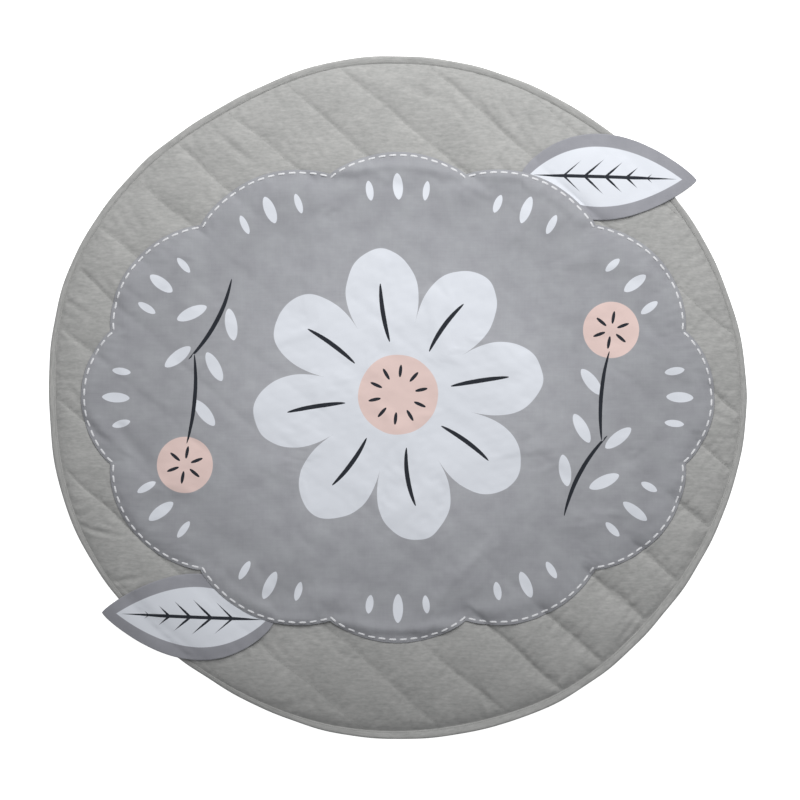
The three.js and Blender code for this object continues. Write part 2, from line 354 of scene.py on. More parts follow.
def addNode(tree, kind, inputs):
    # Adds one node, whose kind may end in its operation. Inputs are a list in the node's own order, or go by
    # number or name, where a name without a capital is a property. Each takes a value or what feeds it: an
    # output, or a node, which stands for its first output.
    kind, _, operation = kind.partition(" ")
    node = tree.nodes.new("ShaderNode" + kind)
    if operation:
        node.operation = operation
    for key, value in inputs.items() if isinstance(inputs, dict) else enumerate(inputs):
        if isinstance(value, bpy.types.Node):
            value = value.outputs[0]
        if isinstance(value, bpy.types.NodeSocket):
            tree.links.new(value, node.inputs[key])
        elif isinstance(key, int) or key[0].isupper():
            node.inputs[key].default_value = value
        else:
            setattr(node, key, value)
    return node


def newMaterial(name, attribute=None):
    # An empty material, a function that adds nodes to it, and the values on the mesh that its pattern follows
    material = bpy.data.materials.new(name)
    material.use_nodes = True
    material.node_tree.nodes.clear()
    add = partial(addNode, material.node_tree)
    return material, add, attribute and add("Attribute", {"attribute_name": attribute}).outputs["Vector"]


def finishMaterial(add, settings):
    add("OutputMaterial", {"Surface": add("BsdfPrincipled", settings)})


def longNoise(add, place, size, settings, shift=(0, 0, 0)):
    # Soft noise, stretched to a size in mm along each axis
    scale = [1 / (side * mm) for side in size]
    stretched = add("Mapping", {"Scale": scale, "Location": shift, "Vector": place})
    return add("TexNoise", {"Scale": 1, "Detail": 2, **settings, "Vector": stretched})


def crossedThreads(add, place, pitch, joining, settings):
    # Ridges that run both ways, as far apart as the pitch. A wave repeats every 2 pi / 20 of its scale.
    settings = {"Scale": 2 * np.pi / 20 / (pitch * mm), "Vector": place, **settings}
    ways = [add("TexWave", {"bands_direction": axis, **settings}) for axis in "YX"]
    return add("Math " + joining, [way.outputs["Fac"] for way in ways])


jersey = {
    "tones": ("#929392", "#b0b0af"),    # dark and pale fibres
    "fleck": (7.5, 2.6, 2.6),     # mm, about twice the real flecks' size, so that they show
    "streak": (19, 4.5, 4.5),     # longer, fainter streaks of the mixed yarn
    "cloud": 48,
    "wale": 1.5,             # mm, knit stitches at about twice their real width
    "paintedShadeTone": 0.86,         # painted shade: the pad darkens to this between two places low on the mat, away from the light
    "paintedShadePlaces": (-460, -320),
}


def marlJersey(name, attribute=None):
    # Brushed cotton jersey, knitted from pale and dark fibres: matt, with short soft flecks and a fine nap
    material, add, place = newMaterial(name, attribute)
    place = place or add("TexCoord", []).outputs["Object"]
    flecks = longNoise(add, place, jersey["fleck"], {"Roughness": 0.52, "Distortion": 0.4}, (7, 3, 0))
    streaks = longNoise(add, place, jersey["streak"], {})
    cloud = add("TexNoise", {"Scale": 1 / (jersey["cloud"] * mm), "Detail": 2, "Vector": place})
    mixed = add("Mix", {"Factor": 0.4, 2: flecks, 3: streaks})
    colour = add("ValToRGB", [add("Mix", {"Factor": 0.2, 2: mixed, 3: cloud})])
    for element, position, hexColor in zip(colour.color_ramp.elements, (0.3, 0.7), jersey["tones"]):
        element.position, element.color = position, linear(hexColor)
    if not attribute:
        # Painted shade: the jersey's colour darkens towards the bottom of the mat, away from the light
        low, high = jersey["paintedShadePlaces"]
        upwards = add("SeparateXYZ", [place]).outputs[1]
        paintedShading = add("MapRange", {"interpolation_type": "SMOOTHSTEP", 0: upwards, 1: low * mm, 2: high * mm,
                                3: jersey["paintedShadeTone"]})
        colour = add("Mix", {"data_type": "RGBA", "blend_type": "MULTIPLY", 0: 1.0, 6: colour, 7: paintedShading})
        colour = colour.outputs[2]
    knit = crossedThreads(add, place, jersey["wale"], "MULTIPLY", {"Distortion": 1.2, "Detail": 1})
    relief = add("Mix", {"Factor": 0.6, 2: knit, 3: flecks})
    nap = add("Bump", {"Strength": 0.3, "Distance": 0.4 * mm, "Height": relief})
    finishMaterial(add, {"Roughness": 0.95, "Specular IOR Level": 0.25, "Sheen Weight": 0.2,
                         "Sheen Roughness": 0.6, "Base Color": colour, "Normal": nap})
    return material


print("materials")
padMaterial = marlJersey("brushed marl jersey")
stripMaterial = marlJersey("marl jersey strip", "strip")

# Panel: an oval with scallops. Its turn runs round it, and its reach from 0 in the middle to 1 at the edge.
panel = {
    "halfWidth": 428,
    "halfDepth": 326,
    "thickness": 2.0,
    "scallops": 12,
    "scallopDepth": 24,
    "scallopRoundness": 0.8,
    "evening": 0.0675,       # makes the scallops of about equal length
    "follow": 0.1,           # how far the cotton sinks into the channels
    "followLeft": 0.26,      # more round one place at the lower left
    "followPlace": (-330, -50),
    "followReach": 115,
    "pillow": 2.2,           # how far it stands up inside its stitched edge
    "pillowLength": 20,
    "stitchInset": 4.2,
    "stitchPress": 0.3,      # how far the stitches press it down
    "gather": 0.34,          # ripples along the stitched edge
    "gatherReach": 15,
    "gatherRun": 400,        # turns angles into lengths along that edge
    "wrinkles": [(0.3, 95, 44), (0.16, 36, 45), (0.08, 17, 46)],    # height, size and seed of each
    "nodes": 107,            # of the settled grid, which is refined twice as fine
    "cloth": {"quality": 5, "mass": 0.25, "damping": 3, "stretch": 12, "shear": 3, "bending": 0.4,
              "slack": 0.02, "pressure": 0.35, "frames": 24, "most": 4, "share": 0.42, "loosely": 0.05},
}


def panelPlace(turn, reach, spread=0):
    # Place on the flat panel: the oval, pushed outwards by its scallops, which fade towards the middle
    angle = turn + panel["evening"] * np.sin(2 * turn)
    across, up = np.cos(angle), np.sin(angle)
    outX, outY = across / panel["halfWidth"], up / panel["halfDepth"]
    lobe = np.abs(np.cos(panel["scallops"] / 2 * turn)) ** panel["scallopRoundness"]
    push = (panel["scallopDepth"] * lobe * reach ** 6 + spread) / np.hypot(outX, outY)
    return panel["halfWidth"] * across * reach + push * outX, panel["halfDepth"] * up * reach + push * outY


edgeTurns = np.linspace(0, 2 * np.pi, 2881)[:-1]
edgeX, edgeY = panelPlace(edgeTurns, np.ones_like(edgeTurns))
edgeAngles = np.unwrap(np.arctan2(edgeY, edgeX))
edgeRadii = np.hypot(edgeX, edgeY)


def panelRadius(angle):
    return np.interp(angle, edgeAngles, edgeRadii, period=2 * np.pi)


def insetFromPanel(x, y):
    # Distance in from the panel's edge, close to it, and negative outside
    x, y = np.asarray(x, float), np.asarray(y, float)
    angles = np.arctan2(y, x)
    rough = panelRadius(angles) - np.hypot(x, y)
    near = np.abs(rough) < 60
    nearX, nearY = x[near], y[near]
    least = np.full(len(nearX), np.inf)
    first = np.searchsorted(edgeAngles, np.mod(angles[near] - edgeAngles[0], 2 * np.pi) + edgeAngles[0])
    for shift in range(-90, 91, 3):
        k = (first + shift) % len(edgeX)
        least = np.minimum(least, (nearX - edgeX[k]) ** 2 + (nearY - edgeY[k]) ** 2)
    out = rough.copy()
    out[near] = np.sign(rough[near]) * np.minimum(np.sqrt(least), np.abs(rough[near]) + 1e-9)
    return out


pad = {
    "turns": 1200,
    "ringRows": 61,
    "ringInside": 17,        # the finely made ring starts this far under the panel's edge
    "ringGap": 0.2,          # and ends this far from the binding
    "edgeHeight": 5.4,
    "edgeUnder": 2.6,
    "lowPart": (180, 440),   # far down the mat the second value of each pair holds
    "edgeSteep": (4.4, 5.7),      # the puffs rise this far close to the binding
    "steepLength": 9.5,
    "edgeSlow": (5, 7.5),         # and the rest slowly
    "slowLength": (45, 90),
    "blend": 1.1,            # how sharply a puff bends down to the edge
    "pucker": 0.24,          # along the seams, and twice as much where they are deep
    "puckerReach": 13,
    "gather": 0.42,          # along the binding
    "gatherReach": 14,
    "gatherRun": 480,        # turns angles into lengths along it
    "dragSlant": -52,        # the pull of the sewing shows in places as long shallow lines
    "dragLength": 3.5,       # times their width
    "dragDepth": 0.24,
    "uneven": 0.18,
    "seatedWidth": 2.4,      # held this close to a seam as it settles
    "seatedRim": 18,         # and to the rim
    "hiddenRows": 9,         # under the panel
    "hiddenRise": 0.7,       # the panel presses the puffs down
    "hiddenGap": 0.3,
    "middleHeight": 11,
    "underRows": 6,
    "underDip": 1.2,         # the seams draw in the underside a little
    "underWidth": 9,
    "footInset": 21,         # the mat stands on what lies inside this
    "cloth": {"quality": 5, "mass": 0.2, "damping": 2, "stretch": 9, "shear": 2, "bending": 0.2,
              "slack": 0.025, "pressure": 0.7, "frames": 24, "most": 3, "share": 0.22, "loosely": 0},
}


def padTop(x, y):
    # The puffs, rounded down to the thin edge that the binding holds, with puckers along seams and binding
    angle = np.arctan2(y, x)
    inset = insetFromRim(x, y) - bindingWidth(angle)
    inner = np.maximum(inset, 0)
    low = smoothStep(-y, *pad["lowPart"])
    pairs = (pad["edgeSteep"], pad["edgeSlow"], pad["slowLength"])
    steep, slow, slowLength = (first + (second - first) * low for first, second in pairs)
    edge = pad["edgeHeight"] + steep * (1 - np.exp(-inner / pad["steepLength"]))
    edge = edge + slow * (1 - np.exp(-inner / slowLength))
    height = -over(-puffHeight(x, y), -edge, pad["blend"])
    channel, across, along, fromSeam = quiltAt(x, y)
    side = channel + (across > 0.5)
    ripple = waves(along + 31 * side, 19, 5) + 0.5 * waves(along - 17 * side, 11, 6)
    ripple = ripple * np.exp(-np.maximum(fromSeam, 0) / pad["puckerReach"]) * smoothStep(fromSeam, 0, 5)
    height = height + pad["pucker"] * (1 + deepShare(seamHeight(x, y))) * ripple
    gathers = waves(angle * pad["gatherRun"], 21, 8) + 0.6 * waves(angle * pad["gatherRun"], 12, 9)
    height = height + pad["gather"] * gathers * np.exp(-inner / pad["gatherReach"]) * smoothStep(inset, 0, 6)
    ahead, aside = aheadAndAside(x, y, (0, 0), np.radians(pad["dragSlant"]))
    drags = lumps(ahead / pad["dragLength"], aside, 19, 12) * smoothStep(lumps(x, y, 120, 13), -0.3, 1.3)
    uneven = pad["uneven"] * lumps(x, y, 46, 11) + pad["dragDepth"] * drags
    height = height + uneven * smoothStep(inset, 5, 30)
    height = height + creaseDepth(x, y, "jersey") * smoothStep(inset, 0, 6)
    return np.where(inset <= 0, pad["edgeHeight"], np.maximum(height, pad["edgeHeight"]))


def hiddenHeight(x, y):
    # The puffs under the panel, pressed down by it
    seam = seamHeight(x, y)
    return seam + pad["hiddenRise"] * (puffHeight(x, y) - seam) - pad["hiddenGap"]


def ringEdges(turns):
    # Inner and outer radius of the part of the pad that shows
    return panelRadius(turns) - pad["ringInside"], rimRadius(turns) - bindingWidth(turns) - pad["ringGap"]


def padRing():
    # The part of the pad that shows, settled as cloth at half its fineness and then refined
    inner, outer = ringEdges(padTurns)
    radius = inner + (outer - inner) * np.linspace(0, 1, pad["ringRows"])[:, None]
    ring = placesRound(radius, padTurns, padTop)
    coarse = ring[::2, ::2]
    x, y = coarse[..., 0], coarse[..., 1]
    held = (quiltAt(x, y)[3] < pad["seatedWidth"]) | (insetFromPanel(x, y) > 3)
    held |= insetFromRim(x, y) < pad["seatedRim"]
    held[0] = held[-1] = True
    quads = gridQuads(*coarse.shape[:2], wrap=True)[:, ::-1]
    moved = settle(coarse.reshape(-1, 3), quads, held.ravel(), pad["cloth"])
    ring = ring + refine(moved.reshape(coarse.shape), wrap=True)
    ring[..., 2] = np.maximum(ring[..., 2], pad["edgeHeight"])
    return ring


def padAt(x, y):
    # Height of the settled pad, between the nearest points of its ring, or pressed down under the panel
    turns = np.arctan2(y, x) % (2 * np.pi)
    inner, outer = ringEdges(turns)
    row = (np.hypot(x, y) - inner) / (outer - inner) * (pad["ringRows"] - 1)
    shown = between(ringPoints, row, turns / (2 * np.pi) * pad["turns"])[..., 2]
    return np.where(row < 0, hiddenHeight(x, y), shown)


def makePad():
    # Closed surface: rows from the middle of the top out to the binding, round the thin edge and back below
    inner, rim, width = ringEdges(padTurns)[0], rimRadius(padTurns), bindingWidth(padTurns)
    top, under, foot = pad["edgeHeight"], pad["edgeUnder"], pad["footInset"]
    rows = []
    for part in np.linspace(0.04, 1, pad["hiddenRows"] + 1)[:-1]:
        rows.append(placesRound(inner * part, padTurns, hiddenHeight))
    rows.extend(ringPoints)
    edge = [(width - 1.5, top), (3, top), (2.6, 4), (3, under), (15.2, under), (18, 0.4), (foot, 0)]
    for inset, height in edge:
        rows.append(placesRound(rim - inset, padTurns, height * rimShare(inset / width, padTurns)))
    for part in np.linspace(1, 0.1, pad["underRows"] + 1)[1:]:
        dip = pad["underDip"] * smoothStep(1 - part, 0, 0.1)
        rows.append(placesRound((rim - foot) * part, padTurns,
                             lambda x, y: dip * bump(quiltAt(x, y)[3], pad["underWidth"])))

    count = pad["turns"]
    points = np.concatenate([*rows, [[0, 0, pad["middleHeight"]], [0, 0, 0]]])
    quads = gridQuads(len(rows), count, wrap=True)[:, ::-1]
    near = np.arange(count)
    after = (near + 1) % count
    last = (len(rows) - 1) * count
    topFan = np.stack([near, after, np.full(count, len(points) - 2)], -1)
    lowFan = np.stack([last + after, last + near, np.full(count, len(points) - 1)], -1)
    piece = addPiece("quilted_pad_cloth", points, [quads, topFan, lowFan], padMaterial)
    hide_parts("quilted_pad")
    return piece


print("pad")
padTurns = np.arange(pad["turns"]) * 2 * np.pi / pad["turns"]
ringPoints = padRing()
quiltedPad = makePad()

binding = {
    "turns": 1300,
    "ripple": 0.16,
    "rippleLength": 34,
    "broad": 15,             # the section below is for this width: how far in from the rim, and how high
    "section": [(15, 0.1), (9, 0), (3.8, 0.1), (1.2, 1.0), (0, 3.3), (0.25, 5.4), (1.0, 7.0), (2.2, 7.85),
                (3.8, 8.1), (6.2, 7.9), (9.2, 7.4), (12.2, 6.65), (14.4, 6.05), (15.1, 5.85), (14.6, 5.65),
                (8, 5.8), (2.6, 5.8), (2.2, 4), (2.6, 2.2), (8, 2.2), (14.6, 2.25), (15.2, 1.2)],
    "foldedFlat": 28,
}


def bindingPlaces(turns, section):
    # Rows of the section carried round the rim. The top ripples, and the width grows and shrinks.
    run = turns * mat["runRadius"]
    depth, level = section[:, :1], section[:, 1:]
    narrowing = (bindingWidth(turns) - 1) / (binding["broad"] - 1)
    inset = np.minimum(depth, 1) + np.maximum(depth - 1, 0) * narrowing
    wave = lumps(run + 1.4 * inset, 1.1 * inset, binding["rippleLength"], 21) + 0.5 * waves(run, 13, 22)
    height = level + binding["ripple"] * wave * smoothStep(level, 4.5, 7)
    height = np.maximum(height * rimShare(depth / binding["broad"], turns), 0)
    wobble = mat["rimWobble"] * waves(run, mat["wobbleLength"], 23)
    return placesRound(rimRadius(turns) - inset + wobble * smoothStep(-depth, -6, -1), turns, height)


def makeBinding():
    # A closed ring: the folded section, all the way round
    count, section = binding["turns"], np.array(binding["section"], float)
    turns = np.arange(count) * 2 * np.pi / count
    quads = gridQuads(len(section) + 1, count, wrap=True) % (len(section) * count)
    points = bindingPlaces(turns, section)
    piece = addPiece("edge_binding_cloth", points, [quads], stripMaterial)
    girth = np.cumsum(np.hypot(*np.diff(section, axis=0, prepend=section[:1]).T))[:, None]
    strip = np.stack(np.broadcast_arrays(turns * mat["runRadius"], girth, 0), -1)
    addValues(piece, "strip", strip * mm)
    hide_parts("edge_binding")
    return piece


print("binding")
edgeBinding = makeBinding()

# Leaves: two layers of cotton, turned and pressed. Each comes out under the panel and droops past the rim.
leaf = {
    "halfWidth": 62,
    "fullness": 0.8,
    "broadest": 0.85,
    "thickness": 2.6,
    "gap": 0.3,              # between it and what it lies on
    "tuck": 14,              # how far it reaches under the panel
    "rows": 130,
    "columns": 60,
    "edgeRound": 1.8,
    "pucker": 0.22,          # along its seam
    "stretched": 0.65,       # how far it bridges the channels
    "bindingTop": 8.8,       # where it crosses the binding
    "drooping": 7,           # how far the tip sinks below that
    "border": 19,            # grey border round the white print
    "ribHalf": 2.4,
    "veinPitch": 30,
    "veinSlant": 1.1,
}
leaves = {
    "leaf_upper": {"root": (176, 318), "tip": (428, 311), "seed": 31},
    "leaf_lower": {"root": (-176, -318), "tip": (-424, -308), "seed": 37},
}


def leafHalfWidth(part):
    # Pointed at both ends and broadest a little before the middle
    part = np.clip(part, 0, 1)
    return leaf["halfWidth"] * np.abs(np.sin(np.pi * part ** leaf["broadest"])) ** leaf["fullness"]


def leafFrame(spot):
    # Direction and length of a leaf
    dx, dy = np.subtract(spot["tip"], spot["root"])
    return np.arctan2(dy, dx), np.hypot(dx, dy)


def leafLift(x, y):
    # How far the tucked leaves raise the panel's edge
    lift = 0
    for spot in leaves.values():
        turn, length = leafFrame(spot)
        ahead, aside = aheadAndAside(x, y, spot["root"], turn)
        fromSide = leafHalfWidth(ahead / length) - np.abs(aside)
        inside = np.minimum(fromSide, leaf["tuck"] - insetFromPanel(x, y))
        lift = lift + (leaf["thickness"] + 0.4) * smoothStep(inside, -16, -1)
    return lift


def leafUnder(x, y, seed):
    # Underside of a leaf: over the puffs, down to the panel's seam at its root, over the binding and beyond
    inset = insetFromRim(x, y)
    puff, crown = puffHeight(x, y), crownHeight(x, y)
    onPad = puff + leaf["stretched"] * (crown - puff) + 0.5
    wave = 0.5 * lumps(x, y, 75, seed) + 0.2 * lumps(x, y, 30, seed + 1)
    upon = smoothStep(inset, 10, 36)
    height = onPad * upon + leaf["bindingTop"] * (1 - upon) - leaf["drooping"] * smoothStep(-inset, 0, 52)
    height = height + wave * (0.3 + 0.7 * upon)
    tucked = smoothStep(insetFromPanel(x, y), -20, -3)
    return height * (1 - tucked) + (puff + leaf["gap"]) * tucked


def denseAtEnds(count, first=0, last=1):
    # Shares that lie closer together at both ends
    return 0.5 - 0.5 * np.cos(np.pi * np.linspace(first, last, count))


def makeLeaf(name, material):
    # Rows run along the leaf and columns across it. What would lie too far under the panel is left off.
    spot = leaves[name]
    turn, length = leafFrame(spot)
    root, cos, sin = spot["root"], np.cos(turn), np.sin(turn)
    outward = np.sign(root[1] * cos - root[0] * sin)

    def leafPlace(step, share):
        ahead, across = step * length + 0 * share, share * leafHalfWidth(step) * outward
        return root[0] + cos * ahead - sin * across, root[1] + sin * ahead + cos * across, ahead, across

    scan, fineSteps = np.linspace(-1, 1, 241), denseAtEnds(600, 0.001, 0.999)
    hidden = insetFromPanel(*leafPlace(fineSteps[:, None], scan[None])[:2]) > leaf["tuck"]
    cut = np.where(hidden.any(1), scan[::-1][np.argmax(hidden[:, ::-1], 1)], -1)
    first = np.argmax(cut < 0.98)
    part = first / 600 + (1 - first / 600) * denseAtEnds(leaf["rows"])
    step = np.interp(part, np.linspace(0, 1, 600), fineSteps)
    cut = np.convolve(np.pad(cut[first:], 4, mode="edge"), np.ones(9) / 9, "valid")
    start = np.interp(step, np.linspace(step[0], step[-1], len(cut)), cut)[:, None]
    start[0] = 0.995
    step = step[:, None]
    share = start + (1 - start) * denseAtEnds(leaf["columns"])
    x, y, ahead, across = leafPlace(step, share)

    width = leafHalfWidth(step)
    fromSide = np.minimum(share - start, 1 - share) * width
    fromEnd = np.minimum(length * (1 - step), length * (step - step[0])) * 0.6
    inside = np.minimum(fromSide, fromEnd)
    roundness = np.sqrt(np.maximum(1 - (1 - np.clip(inside / leaf["edgeRound"], 0, 1)) ** 2, 0))
    thick = leaf["thickness"] * roundness * (0.8 + 0.2 * smoothStep(inside, 0, 16))
    pucker = leaf["pucker"] * waves(ahead + 0.4 * across, 17, spot["seed"] + 2) * np.exp(-inside / 9)
    pucker = pucker * smoothStep(insetFromPanel(x, y), 6, -8)
    lowest = padAt(x, y) * smoothStep(insetFromRim(x, y), 8, 16) + leaf["gap"]
    centre = over(leafUnder(x, y, spot["seed"]) + pucker, lowest) + 0.5 * leaf["thickness"]

    # Both layers share the points of the rim
    rim = np.ones(x.shape, bool)
    rim[1:-1, 1:-1] = False
    upper = np.arange(x.size).reshape(x.shape)
    lower = upper.copy()
    lower[~rim] = x.size + np.arange((~rim).sum())
    faces = gridQuads(*x.shape)
    if outward > 0:
        faces = faces[:, ::-1]
    top, under = (np.stack([x, y, centre + half * thick], -1) for half in (0.5, -0.5))
    points = np.concatenate([top.reshape(-1, 3), under[~rim]])
    piece = addPiece(name + "_cloth", points, [faces, lower.ravel()[faces[:, ::-1]]], material)
    place = np.stack([ahead, across, width + 0 * ahead], -1)
    addValues(piece, "leafPlace", np.concatenate([place.reshape(-1, 3), place[~rim] * [1, 1, 0]]) * mm)
    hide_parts(name)


def squareToRound(a, b):
    # Concentric map of the square onto the disc. Gives turn and reach.
    wide = np.abs(a) >= np.abs(b)
    with np.errstate(divide="ignore", invalid="ignore"):
        turn = np.where(wide, np.pi / 4 * b / a, np.pi / 2 - np.pi / 4 * a / b)
    reach = np.where(wide, a, b)
    turn = np.where(reach < 0, turn + np.pi, turn)
    return np.where(np.abs(reach) < 1e-9, 0, np.nan_to_num(turn)), np.abs(reach)


def roundToSquare(turn, reach):
    turn = np.mod(turn + np.pi / 4, 2 * np.pi) - np.pi / 4
    side = np.clip(((turn + np.pi / 4) // (np.pi / 2)).astype(int), 0, 3)
    slip = (turn - side * np.pi / 2) * 4 / np.pi * reach
    sides = [side == 0, side == 1, side == 2]
    return np.select(sides, [reach, -slip, -reach], slip), np.select(sides, [slip, reach, -slip], -reach)


def panelThickness(inset):
    # The turned edge is pressed thin
    return panel["thickness"] * (0.5 + 0.5 * smoothStep(inset, 0, 9))


def panelTop(x, y, turn):
    # The cotton sinks into the channels, puffs up inside its stitched edge and gathers along it
    inset = insetFromPanel(x, y)
    crown, puff = crownHeight(x, y), puffHeight(x, y)
    away = np.hypot(x - panel["followPlace"][0], y - panel["followPlace"][1])
    follow = panel["follow"] + panel["followLeft"] * np.exp(-0.5 * (away / panel["followReach"]) ** 2)
    follow = follow + (1 - follow) * (1 - smoothStep(inset, 2, 24))
    height = crown + follow * (puff - crown) + 0.25 + panelThickness(inset) + leafLift(x, y)
    rise = 1 - np.exp(-np.maximum(inset - 6, 0) / panel["pillowLength"])
    height = height + panel["pillow"] * rise * (1 + 0.25 * lumps(x, y, 120, 41))
    height = height - panel["stitchPress"] * bump(inset - panel["stitchInset"], 2.4)
    gathers = waves(turn * panel["gatherRun"], 19, 42) + 0.5 * waves(turn * panel["gatherRun"], 11, 43)
    gathers = gathers * np.exp(-np.maximum(inset, 0) / panel["gatherReach"]) * smoothStep(inset, 3, 9)
    wrinkles = sum(high * lumps(x, y, size, seed) for high, size, seed in panel["wrinkles"])
    return height + panel["gather"] * gathers + (wrinkles + creaseDepth(x, y, "cotton")) * rise


def makePanel(material):
    # A grid over the square, carried onto the oval, settled at half its fineness and given its thickness
    size = 2 * panel["nodes"] - 1
    side = np.linspace(-1, 1, size)
    turn, reach = squareToRound(*np.meshgrid(side, side, indexing="ij"))
    x, y = panelPlace(turn, reach)
    top = np.stack([x, y, panelTop(x, y, turn)], -1)
    coarse = top[::2, ::2]
    held = np.ones(coarse.shape[:2], bool)
    held[1:-1, 1:-1] = False
    moved = settle(coarse.reshape(-1, 3), gridQuads(*held.shape), held.ravel(), panel["cloth"])
    top = top + refine(moved.reshape(coarse.shape), wrap=False)
    thickness = panelThickness(insetFromPanel(x, y))
    top[..., 2] = over(top[..., 2], padAt(top[..., 0], top[..., 1]) + thickness + 0.15, 3)

    # The top, the underside and two rows of points round the turned edge
    count = size * size
    index = np.arange(count).reshape(size, size)
    edge = np.concatenate([index[:-1, 0], index[-1, :-1], index[:0:-1, -1], index[0, :0:-1]])
    upper = top.reshape(-1, 3)
    under = upper - [0, 0, 1] * thickness.reshape(-1, 1)
    rimTurn = turn.ravel()[edge]
    fold = np.stack([*panelPlace(rimTurn, np.ones_like(rimTurn), 0.6), upper[edge, 2]], -1)
    points = np.concatenate([upper, under, fold - [0, 0, 0.35], fold - [0, 0, 0.65]])
    around = 2 * count + np.arange(len(edge))
    rings = [edge, around, around + len(edge), count + edge]
    strips = [np.stack([up, low, np.roll(low, -1), np.roll(up, -1)], -1) for up, low in zip(rings, rings[1:])]
    quads = gridQuads(size, size)
    faces = np.concatenate([quads[:, ::-1], quads + count, *strips])
    piece = addPiece("flower_panel_cloth", points, [faces], material)

    flat = np.stack([x, y, 0 * x], -1).reshape(-1, 3)
    places = np.concatenate([flat, flat, flat[edge], flat[edge]])
    addValues(piece, "flat", places * mm)
    for kind, rows in motifs.items():
        addValues(piece, kind, motifPlaces(places, faces, rows), "CORNER")
    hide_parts("flower_panel")
    return top


# Printed motifs, each with its middle, direction, half length, half width and bow
motifs = {"fleck": [], "stroke": [], "dot": []}
daisy = {
    "x": 0,
    "y": 4,
    "radius": 208,
    "petals": 8,
    "turn": 9,
    "notch": 0.5,            # share of the radius where two petals meet
    "petalRoundness": 0.45,
    "heart": 57,
}
sprig = {
    "stem": [(268, -112, 62, 65, 3.0, 3.2), (296, 2, 85, 64, 2.8, 2.2)],
    "leaves": [(238, -104, 100), (294, -120, 24), (262, -44, 118), (314, -58, 38), (276, 22, 128)],
    "leafSize": (23, 8.5),
    "bud": (304, 96),
    "budRadius": 40,
}
edgeFlecks = [(-0.115, 14), (0, 20), (0.115, 14)]    # on each scallop: turn from its middle, half length
edgeFleckInset = 50


def addMotif(kind, x, y, deg, half, wide, bow=0):
    motifs[kind].append((x, y, deg, half, wide, bow))


def addStrokes(x, y, radius, count, firstDeg, half, wide, rng=None):
    # Strokes that point away from a middle. A generator gives each a bow of its own.
    for k in range(count):
        deg = firstDeg + 360 * k / count
        turn = np.radians(deg)
        addMotif("stroke", x + radius * np.cos(turn), y + radius * np.sin(turn), deg, half, wide,
                 rng.uniform(-1.6, 1.6) if rng else 0)


def layOutPrint():
    rng = np.random.default_rng(7)
    addStrokes(daisy["x"], daisy["y"], 118, daisy["petals"], daisy["turn"], 42, 3.2, rng)
    addStrokes(daisy["x"], daisy["y"], 34, 10, 12, 9, 2.4)
    for k in range(panel["scallops"]):
        for shift, half in edgeFlecks:
            turn = 2 * np.pi * k / panel["scallops"] + shift
            edge = np.array(panelPlace(turn, 1.0))
            ahead = np.array(panelPlace(turn, 1.0, 10)) - edge
            ahead = ahead / np.hypot(*ahead)
            addMotif("fleck", *(edge - edgeFleckInset * ahead),
                     np.degrees(np.arctan2(ahead[1], ahead[0])) + rng.uniform(-6, 6),
                     half * rng.uniform(0.92, 1.08), 0.36 * half * rng.uniform(0.95, 1.1))
    for side, turned in ((1, 0), (-1, 180)):
        for x, y, deg, half, wide, bow in sprig["stem"]:
            addMotif("stroke", side * x, side * y, deg + turned, half, wide, bow)
        for x, y, deg in sprig["leaves"]:
            addMotif("fleck", side * x, side * y, deg + turned, *sprig["leafSize"])
        x, y = side * sprig["bud"][0], side * sprig["bud"][1]
        addMotif("dot", x, y, 0, sprig["budRadius"], sprig["budRadius"])
        addStrokes(x, y, 18, 6, 20, 9, 2.3)


def motifPlaces(places, faces, rows):
    # Each face takes the motif nearest to its middle, and its corners say where they lie in that motif
    spots = np.array(rows, float)
    angles = np.radians(spots[:, 2])
    centres = places[faces].mean(1)
    least = np.full(len(centres), np.inf)
    nearest = np.zeros(len(centres), int)
    for k, spot in enumerate(spots):
        ahead, aside = aheadAndAside(centres[:, 0], centres[:, 1], spot, angles[k])
        distance = np.hypot(np.maximum(np.abs(ahead) - spot[3], 0), np.maximum(np.abs(aside) - spot[4], 0))
        closer = distance < least
        nearest[closer], least[closer] = k, distance[closer]
    spot = spots[nearest].T[..., None]
    corners = places[faces]
    ahead, aside = aheadAndAside(corners[..., 0], corners[..., 1], spot, angles[nearest][:, None])
    return np.stack([ahead / spot[3], aside / spot[4], spot[5] + 0 * ahead], -1)


cotton = {
    "panel": ("#96979d", "#a0a2a7"),    # dark and light
    "leaf": ("#8f9097", "#96979e"),
    "paintedLightMiddle": 1.16,      # painted light: the panel is paler in the middle, and painted shade makes it darker at the edge
    "paintedShadeEdge": 0.95,
    "white": "#d8dce4",
    "blush": "#ddc5c0",
    "charcoal": "#22262e",
    "threadPitch": 1.283,    # mm, about three times the real 0.4 mm, so that the threads show from near
    "slub": (40, 2.2),       # mm, length and width of the thicker threads
    "cloud": 34,
    "inkEdge": 0.4,          # mm, how far an ink's edge bleeds
}


def motifInk(add, kind, power, blur=0.04):
    # 1 inside the motif: its half width shrinks to nothing at its two ends, round a middle line that bows
    place = add("Attribute", {"attribute_name": kind}).outputs["Vector"]
    ahead, aside, bow = add("SeparateXYZ", [place]).outputs
    left = add("Math SUBTRACT", {"use_clamp": True, 0: 1.0, 1: add("Math MULTIPLY", [ahead, ahead])})
    fromLine = add("Math SUBTRACT", [aside, add("Math MULTIPLY", [left, bow])])
    room = add("Math SUBTRACT", [add("Math POWER", [left, power]), add("Math ABSOLUTE", [fromLine])])
    soft = add("MapRange", [room, -blur, blur])
    return add("Math MULTIPLY", [soft, add("Math GREATER_THAN", [left, 0])])


